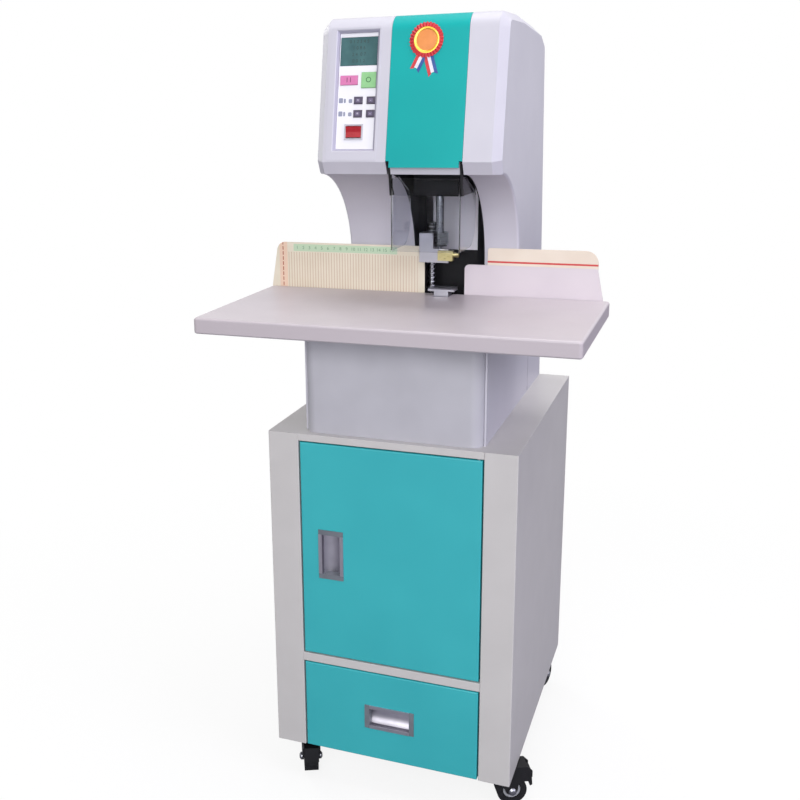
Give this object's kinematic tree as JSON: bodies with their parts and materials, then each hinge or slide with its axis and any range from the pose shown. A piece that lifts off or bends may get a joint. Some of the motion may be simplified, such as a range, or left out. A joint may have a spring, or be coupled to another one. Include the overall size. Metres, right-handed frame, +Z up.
{
  "type": "document riveting machine",
  "caption": "Floor-standing riveting machine for binding vouchers: drill and press head over a work table, on a wheeled cabinet with a door and a drawer.",
  "frame": {"origin": "on the floor under the middle of the machine's overall box", "axes": "+Z up, +X to the operator's right, the operator stands on the -Y side"},
  "size_m": [0.585, 0.541, 1.256],
  "materials": {
    "cabinet_paint": "satin powder coat",
    "teal_paint": "satin powder coat",
    "zinc_steel": "zinc plated",
    "handle_aluminium": "anodised",
    "black_plastic": "moulded",
    "caster_black": "satin",
    "tyre_black": "moulded tread",
    "base_paint": "satin powder coat",
    "lavender_shell": "fine satin",
    "teal_shell": "satin",
    "table_laminate": "satin laminate",
    "guide_paint": "satin",
    "frame_iron": "dark paint",
    "motor_case": "satin",
    "polished_steel": "polished",
    "spring_steel": "oil-hardened wire",
    "rivet_brass": "machined",
    "clear_plastic": "polished clear sheet",
    "panel_white": "satin",
    "display_glass": "gloss",
    "key_pink": "satin",
    "key_green": "satin",
    "key_dark": "satin",
    "rocker_red": "gloss"
  },
  "bodies": {
    "cabinet": {"anvil_plate": "polished_steel", "base_front_cover": "base_paint", "cabinet_back_panel": "cabinet_paint", "cabinet_floor_pan": "cabinet_paint", "cabinet_mid_shelf": "cabinet_paint", "cabinet_side_left": "cabinet_paint", "cabinet_side_right": "cabinet_paint", "cabinet_top_deck": "cabinet_paint", "caster_plates": "zinc_steel", "control_bezel": "panel_white", "display_window": "display_glass", "door_pivots": "zinc_steel", "drawer_runners": "zinc_steel", "gauge_plate": "guide_paint", "guide_post": "polished_steel", "head_bottom_plate": "lavender_shell", "head_front_panel": "teal_shell", "left_paper_guide": "guide_paint", "mains_inlet": "black_plastic", "press_frame": "frame_iron", "press_spring": "spring_steel", "rear_cover": "base_paint", "right_paper_guide": "guide_paint", "rocker_frame": "panel_white", "side_shell_left": "lavender_shell", "side_shell_right": "lavender_shell", "throat_lining": "black_plastic", "work_table": "table_laminate"},
    "door": {"door_panel": "teal_paint", "door_handle_cup": "handle_aluminium", "door_handle_caps": "black_plastic"},
    "drawer": {"drawer_front": "teal_paint", "drawer_tray": "zinc_steel", "drawer_handle_cup": "handle_aluminium", "drawer_handle_caps": "black_plastic"},
    "guard": {"safety_guard": "clear_plastic", "guard_arms": "black_plastic"},
    "carriage": {"drill_carriage": "motor_case", "drill_motor": "motor_case"},
    "spindle": {"drill_spindle": "polished_steel", "hollow_drill": "polished_steel"},
    "foot": {"press_foot": "polished_steel", "rivet_head": "rivet_brass"},
    "rocker": {"rocker_switch": "rocker_red"},
    "rivet_key_body": {"rivet_key": "key_pink"},
    "drill_key_body": {"drill_key": "key_green"},
    "set_key_1_body": {"set_key_1": "key_dark"},
    "set_key_2_body": {"set_key_2": "key_dark"},
    "set_key_3_body": {"set_key_3": "key_dark"},
    "set_key_4_body": {"set_key_4": "key_dark"},
    "fork_fl": {"caster_fork_fl": "caster_black"},
    "wheel_fl": {"caster_wheel_fl": "tyre_black"},
    "fork_fr": {"caster_fork_fr": "caster_black"},
    "wheel_fr": {"caster_wheel_fr": "tyre_black"},
    "fork_rl": {"caster_fork_rl": "caster_black"},
    "wheel_rl": {"caster_wheel_rl": "tyre_black"},
    "fork_rr": {"caster_fork_rr": "caster_black"},
    "wheel_rr": {"caster_wheel_rr": "tyre_black"},
    "brake_fl": {"caster_brake_fl": "black_plastic"},
    "brake_fr": {"caster_brake_fr": "black_plastic"}
  },
  "joints": [
    {"name": "door_hinge", "type": "hinge", "parent": "cabinet", "child": "door", "pos_m": [0.1405, -0.2035, 0.43], "axis": [0, 0, 1], "range_deg": [0, 100]},
    {"name": "drawer_slide", "type": "slide", "parent": "cabinet", "child": "drawer", "axis": [0, -1, 0], "range_m": [0, 0.3]},
    {"name": "guard_hinge", "type": "hinge", "parent": "cabinet", "child": "guard", "pos_m": [0.0292, -0.1115, 1.034], "axis": [-1, 0, 0], "range_deg": [0, 75]},
    {"name": "drill_feed", "type": "slide", "parent": "cabinet", "child": "carriage", "axis": [0, 0, -1], "range_m": [0, 0.055]},
    {"name": "spindle_turn", "type": "hinge", "parent": "carriage", "child": "spindle", "pos_m": [0.017, 0.0185, 0.95], "axis": [0, 0, 1], "continuous": true},
    {"name": "press_stroke", "type": "slide", "parent": "cabinet", "child": "foot", "axis": [0, 0, -1], "range_m": [0, 0.0415], "stiffness_N_per_m": 200, "springref_m": -0.03, "deforming": ["press_spring"]},
    {"name": "rocker_tilt", "type": "hinge", "parent": "cabinet", "child": "rocker", "pos_m": [-0.0855, -0.10908, 1.0869], "axis": [-1, 0, 0], "range_deg": [0, 18]},
    {"name": "rivet_key_press", "type": "slide", "parent": "cabinet", "child": "rivet_key_body", "axis": [0, 0.9826, -0.1857], "range_m": [0, 0.0012], "stiffness_N_per_m": 600, "springref_m": -0.0005},
    {"name": "drill_key_press", "type": "slide", "parent": "cabinet", "child": "drill_key_body", "axis": [0, 0.9826, -0.1857], "range_m": [0, 0.0012], "stiffness_N_per_m": 600, "springref_m": -0.0005},
    {"name": "set_key_1_press", "type": "slide", "parent": "cabinet", "child": "set_key_1_body", "axis": [0, 0.9826, -0.1857], "range_m": [0, 0.0012], "stiffness_N_per_m": 600, "springref_m": -0.0005},
    {"name": "set_key_2_press", "type": "slide", "parent": "cabinet", "child": "set_key_2_body", "axis": [0, 0.9826, -0.1857], "range_m": [0, 0.0012], "stiffness_N_per_m": 600, "springref_m": -0.0005},
    {"name": "set_key_3_press", "type": "slide", "parent": "cabinet", "child": "set_key_3_body", "axis": [0, 0.9826, -0.1857], "range_m": [0, 0.0012], "stiffness_N_per_m": 600, "springref_m": -0.0005},
    {"name": "set_key_4_press", "type": "slide", "parent": "cabinet", "child": "set_key_4_body", "axis": [0, 0.9826, -0.1857], "range_m": [0, 0.0012], "stiffness_N_per_m": 600, "springref_m": -0.0005},
    {"name": "swivel_fl", "type": "hinge", "parent": "cabinet", "child": "fork_fl", "pos_m": [-0.166, -0.1515, 0.066], "axis": [0, 0, 1], "continuous": true},
    {"name": "roll_fl", "type": "hinge", "parent": "fork_fl", "child": "wheel_fl", "pos_m": [-0.15543, -0.17416, 0.025], "axis": [-0.9063, -0.4226, 0], "continuous": true},
    {"name": "swivel_fr", "type": "hinge", "parent": "cabinet", "child": "fork_fr", "pos_m": [0.166, -0.1515, 0.066], "axis": [0, 0, 1], "continuous": true},
    {"name": "roll_fr", "type": "hinge", "parent": "fork_fr", "child": "wheel_fr", "pos_m": [0.18847, -0.14054, 0.025], "axis": [0.4384, -0.8988, 0], "continuous": true},
    {"name": "swivel_rl", "type": "hinge", "parent": "cabinet", "child": "fork_rl", "pos_m": [-0.166, 0.2125, 0.066], "axis": [0, 0, 1], "continuous": true},
    {"name": "roll_rl", "type": "hinge", "parent": "fork_rl", "child": "wheel_rl", "pos_m": [-0.17455, 0.23599, 0.025], "axis": [0.9397, 0.342, 0], "continuous": true},
    {"name": "swivel_rr", "type": "hinge", "parent": "cabinet", "child": "fork_rr", "pos_m": [0.166, 0.2125, 0.066], "axis": [0, 0, 1], "continuous": true},
    {"name": "roll_rr", "type": "hinge", "parent": "fork_rr", "child": "wheel_rr", "pos_m": [0.17247, 0.23665, 0.025], "axis": [0.9659, -0.2588, 0], "continuous": true},
    {"name": "brake_press_fl", "type": "hinge", "parent": "fork_fl", "child": "brake_fl", "pos_m": [-0.14698, -0.19228, 0.0557], "axis": [0.9063, 0.4226, 0], "range_deg": [0, 10]},
    {"name": "brake_press_fr", "type": "hinge", "parent": "fork_fr", "child": "brake_fr", "pos_m": [0.20645, -0.13177, 0.0557], "axis": [-0.4384, 0.8988, 0], "range_deg": [0, 10]}
  ]
}
